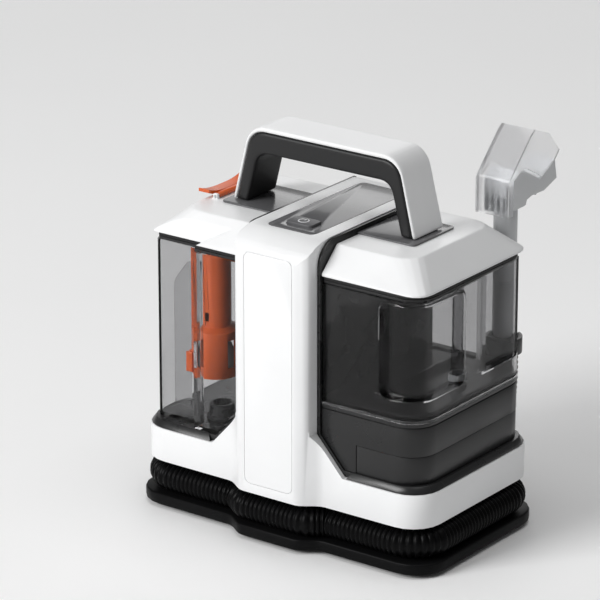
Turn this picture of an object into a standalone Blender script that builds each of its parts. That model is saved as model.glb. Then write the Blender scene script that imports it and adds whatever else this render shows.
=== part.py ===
"""Portable spot carpet cleaner: column body with two lift-away tanks, carry handle, wand and wrapped hose."""
import math

import bmesh
import bpy
from mathutils import Matrix, Vector

MM = 0.001

# ---- Driving dimensions, millimetres, in the plate frame: z = 0 under the base plate, -y is the front ----
FOOT_DROP = 3.0                     # the rubber feet stand the plate this high
PLATE_X, PLATE_Y, PLATE_T = 160.0, 92.0, 10.5
PLATE_CORNER = 30.0
BULGE = 12.3                        # how far the front middle stands forward
BULGE_OUT, BULGE_RUN = 52.0, 24.0   # where the bulge starts and how long its S-curve is
CROWN = 0.5                         # the front's flat stretches are bowed by this much
BAND_X, BAND_Y, BAND_CORNER = 154.0, 89.7, 28.0
BAND_Z0, BAND_Z1 = 42.0, 73.0
COLUMN_X = 40.0                     # half width of the middle column
COLUMN_TOP = 281.0
RAMP_X, RAMP_Z = 71.0, 107.0        # the cheek ramps run from (71, 73) to (40, 107)
CAP_X, CAP_Y, CAP_Z0, CAP_Z1 = 147.2, 84.1, 251.0, 275.0
CAP_TOP_X, CAP_TOP_Y = 122.0, 62.0
TRAY_Z = 79.0                       # top of the trays that the tanks stand in
TANK_IN = 43.6                      # tank wall nearest the column
TANK_TOP = 245.0
WALL = 2.5                          # wall of both clear tanks
RECOVERY_STEP_X, RECOVERY_STEP_Y = 95.0, 75.3
CLEAR_Z0 = 137.0                    # the clean tank is clear above this
HOSE_R = 13.6
HOSE_Z = PLATE_T + 0.4 + HOSE_R
GROOVE_INSET = 13.5                 # hose centreline behind the plate's edge
HOSE_CORNER = 26.0
WAND = (107.1, 104.4)               # wand axis, behind the clean tank
WAND_R = 10.7
WAND_Z0, WAND_Z1 = 156.0, 276.0
HANDLE_Y = 22.0
HANDLE_FOOT_Z = 277.1
NOZZLE_BACK = 164.4
GAP = 0.3

FRONT = PLATE_Y + BULGE
ORIGIN = (0.0, (FRONT - NOZZLE_BACK) / 2 * MM, FOOT_DROP * MM)

for old in list(bpy.data.objects):
    bpy.data.objects.remove(old)

parts = bpy.data.collections.new("carpet_cleaner")
cutters = bpy.data.collections.new("cutters")
bpy.context.scene.collection.children.link(parts)
bpy.context.scene.collection.children.link(cutters)

machine = bpy.data.objects.new("machine_origin", None)
machine.location = ORIGIN
parts.objects.link(machine)


# ---- Materials ----

def plastic(name, colour, roughness, metallic=0.0, transmission=0.0):
    made = bpy.data.materials.new(name)
    made.use_nodes = True
    shader = made.node_tree.nodes["Principled BSDF"]
    shader.inputs["Base Color"].default_value = (*colour, 1.0)
    shader.inputs["Roughness"].default_value = roughness
    shader.inputs["Metallic"].default_value = metallic
    shader.inputs["Transmission Weight"].default_value = transmission
    made.diffuse_color = (*colour, 1.0)
    return made


WHITE = plastic("white_shell", (0.86, 0.86, 0.87), 0.4)
WHITE_GLOSS = plastic("white_gloss", (0.9, 0.9, 0.91), 0.12)
BLACK = plastic("black_satin", (0.03, 0.03, 0.032), 0.45)
GREY_GLOSS = plastic("dark_gloss", (0.16, 0.16, 0.17), 0.1)
CLEAR = plastic("smoky_clear", (0.75, 0.77, 0.78), 0.08, transmission=0.8)
LIGHT_GREY = plastic("light_grey", (0.5, 0.51, 0.52), 0.45)
ORANGE = plastic("orange", (0.7, 0.12, 0.02), 0.4)
RUBBER = plastic("rubber", (0.02, 0.02, 0.02), 0.85)
STEEL = plastic("steel", (0.6, 0.6, 0.62), 0.3, metallic=1.0)
BOARD = plastic("board_green", (0.02, 0.16, 0.07), 0.5)


# ---- Shared makers ----

def keep(obj, material=None, smooth=True):
    """Link an object as a sub-part, or as a cutter when it has no material."""
    obj.parent = machine
    if material is None:
        cutters.objects.link(obj)
        obj.hide_render = True
        obj.display_type = "WIRE"
        return obj
    parts.objects.link(obj)
    if not obj.data.materials:
        obj.data.materials.append(material)
    if smooth and obj.type == "MESH":
        obj.data.shade_smooth()
        obj.data.set_sharp_from_angle(angle=math.radians(35))
    return obj


def from_bmesh(name, bm, origin, material=None):
    mesh = bpy.data.meshes.new(name)
    bmesh.ops.recalc_face_normals(bm, faces=bm.faces)
    bm.to_mesh(mesh)
    bm.free()
    obj = bpy.data.objects.new(name, mesh)
    obj.location = [value * MM for value in origin]
    return keep(obj, material)


def box(name, low, high, material=None, corners=None, steps=4, origin=None):
    """An upright block; corners maps (sign x, sign y) to the radius of that vertical edge."""
    centre = [(a + b) / 2 for a, b in zip(low, high)]
    origin = origin or centre
    bm = bmesh.new()
    bmesh.ops.create_cube(bm, size=1.0)
    for vert in bm.verts:
        for axis in range(3):
            vert.co[axis] = (centre[axis] + vert.co[axis] * (high[axis] - low[axis]) - origin[axis]) * MM
    middle = Vector([(c - o) * MM for c, o in zip(centre, origin)])
    for (side_x, side_y), radius in (corners or {}).items():
        edges = []
        for edge in bm.edges:
            place = (edge.verts[0].co + edge.verts[1].co) / 2 - middle
            upright = abs(edge.verts[0].co.z - edge.verts[1].co.z) > 1e-6
            if upright and place.x * side_x > 0.49 * (high[0] - low[0]) * MM \
                    and place.y * side_y > 0.49 * (high[1] - low[1]) * MM:
                edges.append(edge)
        bmesh.ops.bevel(bm, geom=edges, offset=radius * MM, segments=steps, profile=0.5, affect="EDGES")
    return from_bmesh(name, bm, origin, material)


def all_corners(radius):
    return {(x, y): radius for x in (-1, 1) for y in (-1, 1)}


def cylinder(name, centre, radius, length, axis="Z", material=None, sides=24):
    bm = bmesh.new()
    bmesh.ops.create_cone(bm, cap_ends=True, segments=sides, radius1=radius * MM, radius2=radius * MM,
                          depth=length * MM)
    obj = from_bmesh(name, bm, centre, material)
    obj.rotation_euler = {"Z": (0, 0, 0), "X": (0, math.pi / 2, 0), "Y": (math.pi / 2, 0, 0)}[axis]
    return obj


def prism(name, outline, start, end, axis="Z", material=None, origin=(0.0, 0.0), bevel=0.0, bevel_steps=2):
    """A flat outline given thickness: (x, y) along Z, (x, z) along Y, or (y, z) along X; drawn in mm, then scaled."""
    curve = bpy.data.curves.new(name + "_outline", "CURVE")
    curve.dimensions = "2D"
    curve.fill_mode = "BOTH"
    curve.extrude = (end - start) / 2
    spline = curve.splines.new("POLY")
    spline.points.add(len(outline) - 1)
    spline.use_cyclic_u = True
    for point, (a, b) in zip(spline.points, outline):
        point.co = (a - origin[0], b - origin[1], 0.0, 1.0)
    drawn = bpy.data.objects.new(name + "_outline", curve)
    cutters.objects.link(drawn)
    bpy.context.view_layer.update()
    mesh = bpy.data.meshes.new_from_object(drawn.evaluated_get(bpy.context.evaluated_depsgraph_get()))
    bpy.data.objects.remove(drawn)
    bm = bmesh.new()
    bm.from_mesh(mesh)
    bmesh.ops.remove_doubles(bm, verts=bm.verts, dist=0.001)
    bmesh.ops.recalc_face_normals(bm, faces=bm.faces)
    bmesh.ops.scale(bm, vec=(MM, MM, MM), verts=bm.verts)
    inner = [edge for edge in bm.edges if all(abs(face.normal.z) > 0.99 for face in edge.link_faces)]
    bmesh.ops.dissolve_edges(bm, edges=inner, use_verts=False)
    bm.to_mesh(mesh)
    bm.free()
    mesh.name = name
    mesh.materials.clear()
    obj = bpy.data.objects.new(name, mesh)
    middle = (start + end) / 2
    place = {"Z": (origin[0], origin[1], middle), "Y": (origin[0], middle, origin[1]),
             "X": (middle, origin[0], origin[1])}[axis]
    obj.location = [value * MM for value in place]
    obj.rotation_euler = {"Z": (0, 0, 0), "Y": (math.pi / 2, 0, 0), "X": (math.pi / 2, 0, math.pi / 2)}[axis]
    if bevel:
        rounding = obj.modifiers.new("edges", "BEVEL")
        rounding.width = bevel * MM
        rounding.segments = bevel_steps
        rounding.limit_method = "ANGLE"
        rounding.angle_limit = math.radians(50)
    return keep(obj, material)


def turned(name, profile, origin, material, steps=24, axis="Z"):
    """A profile of (radius, height) points, from top to bottom on the outside, turned round its axis."""
    mesh = bpy.data.meshes.new(name)
    points = [(radius * MM, 0.0, height * MM) for radius, height in profile]
    mesh.from_pydata(points, [(i, i + 1) for i in range(len(points) - 1)], [])
    obj = bpy.data.objects.new(name, mesh)
    obj.location = [value * MM for value in origin]
    obj.rotation_euler = {"Z": (0, 0, 0), "X": (0, math.pi / 2, 0), "Y": (-math.pi / 2, 0, 0)}[axis]
    turn = obj.modifiers.new("turn", "SCREW")
    turn.steps = steps
    turn.render_steps = steps
    turn.use_merge_vertices = True
    turn.merge_threshold = 0.0001
    turn.use_smooth_shade = True
    return keep(obj, material)


def tube(name, points, radius, material, resolution=2):
    """A round tube along hand-placed points, solid, with filled ends."""
    curve = bpy.data.curves.new(name, "CURVE")
    curve.dimensions = "3D"
    curve.bevel_depth = radius * MM
    curve.bevel_resolution = resolution
    curve.use_fill_caps = True
    spline = curve.splines.new("POLY")
    spline.points.add(len(points) - 1)
    for point, place in zip(spline.points, points):
        point.co = (*[value * MM for value in place], 1.0)
    obj = bpy.data.objects.new(name, curve)
    return keep(obj, material)


def change(obj, tool, operation):
    step = obj.modifiers.new(operation.lower(), "BOOLEAN")
    step.operation = operation
    step.object = tool
    step.solver = "EXACT"
    return obj


def cut(obj, *tools):
    for tool in tools:
        change(obj, tool, "DIFFERENCE")
    return obj


def join(obj, *tools):
    for tool in tools:
        change(obj, tool, "UNION")
    return obj


def arc(centre, radius, start, end, steps):
    found = []
    for step in range(steps + 1):
        angle = math.radians(start + (end - start) * step / steps)
        found.append((centre[0] + radius * math.cos(angle), centre[1] + radius * math.sin(angle)))
    return found


def bulge_depth(x):
    """How far the front stands forward at x: a slight crown, and a smooth S up to the full bulge."""
    t = min(1.0, max(0.0, (BULGE_OUT - abs(x)) / BULGE_RUN))
    return CROWN * (1 - (x / 118.0) ** 2) + (BULGE - CROWN) * t * t * (3 - 2 * t)


def plan_outline(half_x, half_y, corner, bulged=True, steps=5, s_steps=6):
    """A rounded rectangle seen from above, with the bulge in its front edge."""
    points = arc((-half_x + corner, -half_y + corner), corner, 180, 270, steps)
    if bulged:
        left = [-BULGE_OUT + BULGE_RUN * step / s_steps for step in range(s_steps + 1)]
        for x in left + [-x for x in reversed(left)]:
            points.append((x, -half_y - bulge_depth(x)))
    points += arc((half_x - corner, -half_y + corner), corner, 270, 360, steps)
    points += arc((half_x - corner, half_y - corner), corner, 0, 90, steps)
    points += arc((-half_x + corner, half_y - corner), corner, 90, 180, steps)
    return points


def rounded_rectangle(low, high, radius, steps=4):
    points = arc((low[0] + radius, low[1] + radius), radius, 180, 270, steps)
    points += arc((high[0] - radius, low[1] + radius), radius, 270, 360, steps)
    points += arc((high[0] - radius, high[1] - radius), radius, 0, 90, steps)
    points += arc((low[0] + radius, high[1] - radius), radius, 90, 180, steps)
    return points


def filleted(path, radius, steps):
    """An open path with an arc in place of each inner corner."""
    points = [Vector(path[0])]
    for before, corner, after in zip(path, path[1:], path[2:]):
        back = (Vector(before) - Vector(corner)).normalized()
        on = (Vector(after) - Vector(corner)).normalized()
        half = back.angle(on) / 2
        centre = Vector(corner) + (back + on).normalized() * radius / math.sin(half)
        first = Vector(corner) + back * radius / math.tan(half) - centre
        last = Vector(corner) + on * radius / math.tan(half) - centre
        turn = first.angle_signed(last)
        for step in range(steps + 1):
            angle = -turn * step / steps
            cos, sin = math.cos(angle), math.sin(angle)
            points.append(centre + Vector((first.x * cos - first.y * sin, first.x * sin + first.y * cos)))
    points.append(Vector(path[-1]))
    return [(point.x, point.y) for point in points]


def mirrored(side, outline):
    return [(side * a, b) for a, b in outline]


def span(side, near, far):
    """An x range on one side of the machine, in rising order."""
    return (near, far) if side > 0 else (-far, -near)


# ---- Base: plate, feet, screws, the core that the hose lies around ----

def make_base():
    plate = prism("base_plate", plan_outline(PLATE_X, PLATE_Y, PLATE_CORNER), 0, PLATE_T, "Z", BLACK,
                  bevel=1.5)
    for index, (x, y) in enumerate([(-128, -62), (128, -62), (128, 62), (-128, 62)], 1):
        foot = turned(f"foot_{index}", [(0, 1.4), (11, 1.4), (11, -2.2), (10.2, -3.0), (0, -3.0)],
                      (x, y, 0), RUBBER, 20)
        cut(plate, cylinder(f"foot_recess_{index}", (x, y, 0), 11.3, 3.4, sides=20))
        x, y = x * 0.72, y * 0.72
        cut(plate, cylinder(f"screw_hole_{index}", (x, y, 0), 4.6, 5.0, sides=16))
        screw = cylinder(f"base_screw_{index}", (x, y, 1.2), 4.2, 1.8, material=STEEL, sides=16)
        cut(screw, box(f"screw_slot_{index}", (x - 3, y - 0.5, -1), (x + 3, y + 0.5, 1.0)))
        foot.data.name = foot.name
    inset = 2 * HOSE_R + 3.4
    core_x, core_y = PLATE_X - inset, PLATE_Y - inset
    core = prism("chassis_core", plan_outline(core_x, core_y, 12.0), PLATE_T + GAP, BAND_Z0 - GAP, "Z", BLACK)
    cut(core, prism("core_hollow", plan_outline(core_x - 3, core_y - 3, 9.0), 0, 60, "Z"))
    cut(core, cylinder("port_hole", (80, core_y, HOSE_Z), 9.5, 12, "Y", sides=20))
    return core_y


# ---- White body: lower band, cheeks and hollow column in one moulding ----

def side_profile(front, back, bottom, top, front_run, front_drop, back_round):
    """The column seen from the side, with its rolled front top edge."""
    points = [(back, bottom)]
    points += [(a, b) for a, b in arc((back - back_round, top - back_round), back_round, 0, 90, 4)]
    for step in range(6):
        angle = math.radians(90 + 90 * step / 5)
        points.append((front + front_run + front_run * math.cos(angle),
                       top - front_drop + front_drop * math.sin(angle)))
    points.append((front, bottom))
    return points


def make_body():
    shell = prism("body_shell", plan_outline(BAND_X, BAND_Y, BAND_CORNER), BAND_Z0, COLUMN_TOP, "Z", WHITE)
    for side, name in ((-1, "left"), (1, "right")):
        bay = [(RAMP_X, BAND_Z1), (COLUMN_X, RAMP_Z), (COLUMN_X, 320), (220, 320), (220, BAND_Z1)]
        cut(shell, prism(f"bay_{name}", mirrored(side, bay), -140, 140, "Y"))
        x0, x1 = span(side, COLUMN_X, 90)
        cut(shell, box(f"ramp_pocket_{name}", (x0, -85.5, BAND_Z1), (x1, 85.5, 118)))
        corner = [(30, -125), (60, -125), (60, -80), (COLUMN_X, -80)]
        corner += arc((30, -92), 10, 0, -90, 5)
        cut(shell, prism(f"corner_{name}", mirrored(side, corner), RAMP_Z + 4, 320, "Z"))
    front = -BAND_Y - BULGE
    block = box("top_block", (-60, -140, 150), (60, 140, 330))
    cut(block, prism("top_roll", side_profile(front, BAND_Y, 100, COLUMN_TOP, 36, 20, 10), -70, 70, "X"))
    cut(shell, block)
    cut(shell, prism("band_hollow", plan_outline(BAND_X - 3, BAND_Y - 3, BAND_CORNER - 3), 20, BAND_Z1 - 3, "Z"))
    hollow = prism("column_hollow", side_profile(-93.5, 86, 20, 277, 27, 22, 8), -37.2, 37.2, "X")
    cut(shell, hollow)
    cut(shell, prism("front_recess", rounded_rectangle((-25.9, 50.6), (25.9, 265.4), 6.4),
                     front - 5, front + 1.2, "Y"))
    cut(shell, prism("top_recess", rounded_rectangle((-25.9, -70.4), (25.9, 73.4), 6.4),
                     COLUMN_TOP - 1.2, COLUMN_TOP + 5, "Z"))
    cut(shell, box("button_hole_shell", (-14.3, -58.8, 270), (14.3, -40.2, 290), corners=all_corners(4.5)))
    cut(shell, cylinder("air_hole_shell", (-40, 10, 215), 11, 12, "X"))
    cut(shell, cylinder("valve_hole_shell", (40, 0, 121), 6.6, 12, "X", sides=16))
    cut(shell, box("grille_recess", (-26, 80, 96), (26, 100, 150)))
    cut(shell, cylinder("gland_hole", (-22, 88, 84), 6.3, 14, "Y", sides=20))
    prism("front_panel", rounded_rectangle((-25.5, 51), (25.5, 265), 6.0), front - 0.1, front + 0.9, "Y",
          WHITE_GLOSS)
    top = prism("top_panel", rounded_rectangle((-25.5, -70), (25.5, 73), 6.0), COLUMN_TOP - 0.9,
                COLUMN_TOP + 0.1, "Z", GREY_GLOSS)
    cut(top, box("button_hole_panel", (-14.3, -58.8, 270), (14.3, -40.2, 290), corners=all_corners(4.5)))
    box("power_button", (-13.75, -58.25, 274.5), (13.75, -40.75, 283.4), GREY_GLOSS, corners=all_corners(4.0))
    grille = box("exhaust_grille", (-25.6, 84, 96.4), (25.6, BAND_Y - 0.2, 149.6), BLACK)
    for index in range(7):
        z = 103 + index * 6.6
        cut(grille, box(f"grille_slot_{index}", (-21, 82, z), (21, 92, z + 2.4)))
    gland = turned("cord_gland", [(0, 11), (4.6, 11), (5.8, 2.3), (8.5, 2.0), (8.5, -0.0), (6.0, -0.0),
                                  (6.0, -8), (0, -8)], (-22, BAND_Y + GAP, 84), RUBBER, 20, "Y")
    cut(gland, cylinder("gland_bore", (-22, BAND_Y + 10, 84), 3.2, 14, "Y", sides=16))


# ---- Black trays and the black walls beside the column ----

def make_liner(side, name):
    slope = (RAMP_Z - BAND_Z1) / (RAMP_X - COLUMN_X)
    lift = 4.0
    low_x = RAMP_X + (lift - (TRAY_Z - BAND_Z1)) / slope
    wall = [(COLUMN_X + GAP, BAND_Z1 + GAP + 0.2), (90, BAND_Z1 + GAP + 0.2), (90, TRAY_Z - 0.2),
            (low_x, TRAY_Z - 0.2),
            (TANK_IN - 0.4, BAND_Z1 + lift + slope * (RAMP_X - TANK_IN + 0.4)),
            (TANK_IN - 0.4, COLUMN_TOP - 0.6), (COLUMN_X + GAP, COLUMN_TOP - 0.6)]
    liner = prism(f"bay_liner_{name}", mirrored(side, wall), -85.2, 85.2, "Y", BLACK)
    x0, x1 = span(side, 74.0, BAND_X - 0.8)
    y = BAND_Y - 0.8
    tray = box(f"tray_{name}", (x0, -y, BAND_Z1 + GAP), (x1, y, TRAY_Z),
               corners={(side, -1): BAND_CORNER - 1, (side, 1): BAND_CORNER - 1}, steps=5)
    for vert in tray.data.vertices:
        if vert.co.z > 0:
            vert.co.x *= 1 - 3.6 / (x1 - x0) * 2
            vert.co.y *= 1 - 3.6 / y
    roll = [(-98, 258), (-85.3, 258)]
    for step in range(7):
        angle = math.radians(15 * step)
        roll.append((-62 - 23.3 * math.cos(angle), 258 + 22.6 * math.sin(angle)))
    roll += [(-62, 295), (-98, 295)]
    cut(liner, prism(f"liner_roll_{name}", roll, -50, 50, "X"))
    join(liner, tray)
    if side < 0:
        cut(liner, cylinder("air_hole_liner", (-42, 10, 215), 11, 8, "X"))
    else:
        cut(liner, cylinder("valve_hole_liner", (42, 0, 121), 6.6, 12, "X", sides=16))


# ---- Tank caps, their gloss inlays, the carry handle and the release latch ----

def cap_block(name, side, inset, drop, material=None):
    """A block whose outer three sides slope in to a smaller top, over a short upright lip."""
    near, far = TANK_IN + inset, CAP_X - inset
    y0, y1 = CAP_Y - inset, CAP_TOP_Y - inset * 0.6
    top_far = CAP_TOP_X - inset * 0.6
    low, lip, high = CAP_Z0 - drop, CAP_Z0 + 3.0 - inset * 0.4, CAP_Z1 - inset
    bm = bmesh.new()
    bmesh.ops.create_cube(bm, size=2.0)
    for vert in bm.verts:
        up = vert.co.z > 0
        x = near if vert.co.x < 0 else (top_far if up else far)
        y = (y1 if up else y0) * (1 if vert.co.y > 0 else -1)
        vert.co = Vector((x, y, high if up else lip)) * MM
    base = [face for face in bm.faces if all(vert.co.z < (lip + 0.1) * MM for vert in face.verts)]
    grown = bmesh.ops.extrude_face_region(bm, geom=base)
    for item in grown["geom"]:
        if isinstance(item, bmesh.types.BMVert):
            item.co.z = low * MM
    bmesh.ops.delete(bm, geom=base, context="FACES_ONLY")
    outer = []
    for edge in bm.edges:
        a, b = edge.verts
        if abs(a.co.z - b.co.z) > 1e-6 and min(a.co.x, b.co.x) > (near + 1) * MM:
            outer.append(edge)
    bmesh.ops.bevel(bm, geom=outer, offset=(17 if inset else 15) * MM, segments=4, profile=0.5, affect="EDGES")
    for vert in bm.verts:
        vert.co.x *= side
    return from_bmesh(name, bm, (0, 0, 0), material)


def make_caps():
    for side, name in ((-1, "left"), (1, "right")):
        cap = cap_block(f"tank_cap_{name}", side, 0.0, 0.0, WHITE)
        hollow = cap_block(f"cap_hollow_{name}", side, 2.6, 8.0)
        if side < 0:
            bm = bmesh.new()
            bmesh.ops.create_cube(bm, size=2.0)
            for vert in bm.verts:
                z = 286.0 if vert.co.z > 0 else 245.0
                x = -64 - 1.81 * (267 - z) if vert.co.x > 0 else -180
                y = -66.2 - 0.38 * (275 - z) if vert.co.y > 0 else -120
                vert.co = Vector((x, y, z)) * MM
            facet = from_bmesh("cap_facet_left", bm, (0, 0, 0))
            bm = bmesh.new()
            bmesh.ops.create_cube(bm, size=2.0)
            for vert in bm.verts:
                z = 286.0 if vert.co.z > 0 else 235.0
                x = -61 - 1.81 * (267 - z) if vert.co.x > 0 else -180
                y = -63.5 - 0.385 * (275 - z) if vert.co.y > 0 else -120
                vert.co = Vector((x, y, z)) * MM
            cut(hollow, from_bmesh("cap_facet_left_inner", bm, (0, 0, 0)))
            cut(cap, hollow, facet)
        else:
            cut(cap, hollow)
        x0, x1 = span(side, TANK_IN + 0.4, 103.5)
        box(f"cap_inlay_{name}", (x0, -31.5, CAP_Z1 + GAP), (x1, 31.5, CAP_Z1 + 1.8), GREY_GLOSS,
            corners={(side, -1): 4.0, (side, 1): 4.0})


def handle_path(foot_x, apex_x, apex_z, radius, steps):
    return filleted([(-foot_x, HANDLE_FOOT_Z), (-apex_x, apex_z), (apex_x, apex_z), (foot_x, HANDLE_FOOT_Z)],
                    radius, steps)


def make_handle():
    outer = handle_path(98.0, 79.8, 348.5, 22.0, 7)
    seam_out = handle_path(94.35, 78.35, 343.85, 18.0, 6)
    seam_in = handle_path(94.05, 78.05, 343.55, 18.0, 6)
    inner = handle_path(82.3, 70.5, 324.2, 13.0, 5)
    prism("handle_shell", outer + seam_out[::-1], -HANDLE_Y, HANDLE_Y, "Y", WHITE, bevel=1.2, bevel_steps=1)
    prism("handle_grip", seam_in + inner[::-1], -HANDLE_Y + 0.2, HANDLE_Y - 0.2, "Y", BLACK, bevel=2.0)


def make_latch():
    axis_x, axis_z = -112.0, 277.8
    upper, lower = [], []
    for step in range(13):
        y = -32 + 64 * step / 12
        rise = 4.5 * (abs(y) / 32) ** 3
        upper.append((y, 279.2 + rise))
        lower.append((y, 276.2 + rise * (0.92 if abs(y) < 31 else 0.97)))
    latch = prism("release_latch", lower + upper[::-1], -128.0, axis_x - 4.4, "X", ORANGE, origin=(0.0, axis_z))
    latch.data.transform(Matrix.Translation((0, 0, (-128.0 - 4.4 - axis_x) / 2 * MM)))
    latch.location.x = axis_x * MM
    barrel = cylinder("latch_barrel", (axis_x, 0, axis_z), 2.4, 50, "Y", sides=16)
    join(latch, box("latch_web", (axis_x - 5, -24.5, 276.4), (axis_x, 24.5, 279.0)), barrel)
    cut(latch, cylinder("latch_bore", (axis_x, 0, axis_z), 1.4, 80, "Y", sides=16))
    cylinder("latch_pin", (axis_x, 0, axis_z), 1.1, 60, "Y", STEEL, sides=16)
    pin_bore = cylinder("lug_bore", (axis_x, 0, axis_z), 1.4, 90, "Y", sides=16)
    for side in (-1, 1):
        y0, y1 = (25.5, 29.5) if side > 0 else (-29.5, -25.5)
        lug = box(f"latch_lug_{side}", (axis_x - 2.6, y0, CAP_Z1 - 1.5), (axis_x + 2.6, y1, axis_z + 2.4))
        join(bpy.data.objects["tank_cap_left"], cut(lug, pin_bore))


# ---- Tanks ----

def ramp_cut(name, side, lift):
    """The wedge over the cheek ramp that a tank's inner bottom edge is cut away by."""
    slope = (RAMP_Z - BAND_Z1) / (RAMP_X - COLUMN_X)
    low, high = 40.0, 130.0
    near = [(x, BAND_Z1 + lift + slope * (RAMP_X - x)) for x in (RAMP_X + 40, 20)]
    wedge = [(near[0][0], near[0][1]), (near[1][0], near[1][1]), (20, low), (near[0][0], low)]
    return prism(name, mirrored(side, wedge), -high, high, "Y")


def tank_block(name, side, low, high, inset=0.0, material=None, radius=26.0):
    x0, x1 = span(side, TANK_IN + inset, CAP_X - inset)
    y = CAP_Y - inset
    corner = radius - inset
    return box(name, (x0, -y, low), (x1, y, high), material,
               corners={(side, -1): corner, (side, 1): corner, (-side, -1): 2.5, (-side, 1): 2.5}, steps=5)


def grip_cutter(name, grow, depth=8.0):
    """The hand recess that wraps the clean tank's front outer corner."""
    low, high, round_off = 156 - grow, 240.5 + grow, 7 + grow
    outer = prism(name, rounded_rectangle((104.6 - grow, low), (190, high), round_off), -130, -15.7 + grow, "Y")
    side_view = rounded_rectangle((-150, low - 0.05), (-15.7 + grow, high + 0.05), round_off)
    change(outer, prism(name + "_side", side_view, 90, 200, "X"), "INTERSECT")
    core = box(name + "_core", (60, -CAP_Y + depth + grow, 100), (CAP_X - depth - grow, 60, 300),
               corners={(1, -1): 16.0})
    return cut(outer, core)


def make_clean_tank():
    tank = tank_block("clean_tank", 1, CLEAR_Z0, TANK_TOP, 0.0, CLEAR)
    inside = tank_block("clean_inside", 1, CLEAR_Z0 + WALL, TANK_TOP + 10, WALL)
    cut(inside, grip_cutter("grip_inside", WALL))
    rear = box("rear_recess", (CAP_X - 6.0, 15, 157), (170, 110, 246.0))
    cut(inside, box("rear_recess_inside", (CAP_X - 6.0 - WALL, 12.5, 154.5), (170, 110, 246.0)))
    cut(tank, grip_cutter("grip_recess", 0.0), rear, inside)
    cut(tank, cylinder("clean_drain", (80, 0, CLEAR_Z0), 5.0, 12, sides=16))
    base = tank_block("clean_tank_base", 1, TRAY_Z + GAP, CLEAR_Z0 - GAP, 0.0, BLACK)
    base_inside = tank_block("base_inside", 1, 60, CLEAR_Z0 - 3.3, 3.0)
    ramp_cut_outer = ramp_cut("base_ramp", 1, 4.9)
    cut(base_inside, ramp_cut("base_ramp_inside", 1, 8.2))
    cut(base, base_inside, ramp_cut_outer)
    groove = tank_block("flange_groove", 1, 131.0, 132.2, -5.0)
    cut(groove, tank_block("flange_groove_core", 1, 120, 140, 1.0))
    cut(base, groove)
    skirt = box("skirt_space", (81, -100, 60), (170, 100, 105.0))
    cut(skirt, tank_block("skirt_core", 1, 50, 120, 2.2))
    cut(base, skirt)
    cover = tank_block("clean_base_cover", 1, TRAY_Z + GAP, 104.6, 0.3, BLACK)
    cut(cover, tank_block("cover_core", 1, 60, 120, 1.9))
    cut(cover, box("cover_end", (20, -100, 60), (81.4, 100, 120)))
    cut(base, cylinder("valve_port", (TANK_IN, 0, 121), 6.6, 30, "X", sides=16))
    cut(base, cylinder("base_drain", (80, 0, CLEAR_Z0), 5.0, 12, sides=16))
    valve = turned("outlet_valve", [(0, 9), (4.0, 9), (4.0, 1.5), (5.6, 1.5), (5.6, -9), (0, -9)],
                   (TANK_IN + 8, 0, 121), ORANGE, 16, "X")
    valve.rotation_euler = (0, -math.pi / 2, 0)
    lid = tank_block("clean_tank_lid", 1, TANK_TOP + GAP, TANK_TOP + 3.0, 1.2, BLACK)
    cut(lid, cylinder("filler_hole", (95, -30, TANK_TOP), 15.0, 20, sides=24))
    filler = turned("filler_cap", [(0, 2.0), (17.0, 2.0), (17.0, 0.0), (14.6, 0.0), (14.6, -6), (12.6, -6),
                                   (12.6, -0.4), (0, -0.4)], (95, -30, TANK_TOP + 3.3), ORANGE, 24)
    filler.data.name = "filler_cap"
    rim = tank_block("clean_tank_seal", 1, TANK_TOP + 3.3, CAP_Z0 - 0.4, 1.2, RUBBER)
    cut(rim, tank_block("seal_core", 1, TANK_TOP - 5, CAP_Z0 + 5, 5.0))


def recovery_form(name, low, high, inset, material=None):
    """The waste tank's block: its outer front is set back, and its inner bottom edge follows the ramp."""
    form = tank_block(name, -1, low, high, inset, material)
    step = box(name + "_step", (-200, -120, 20), (-RECOVERY_STEP_X + inset, -RECOVERY_STEP_Y + inset, 300))
    cut(form, step)
    return form


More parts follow.
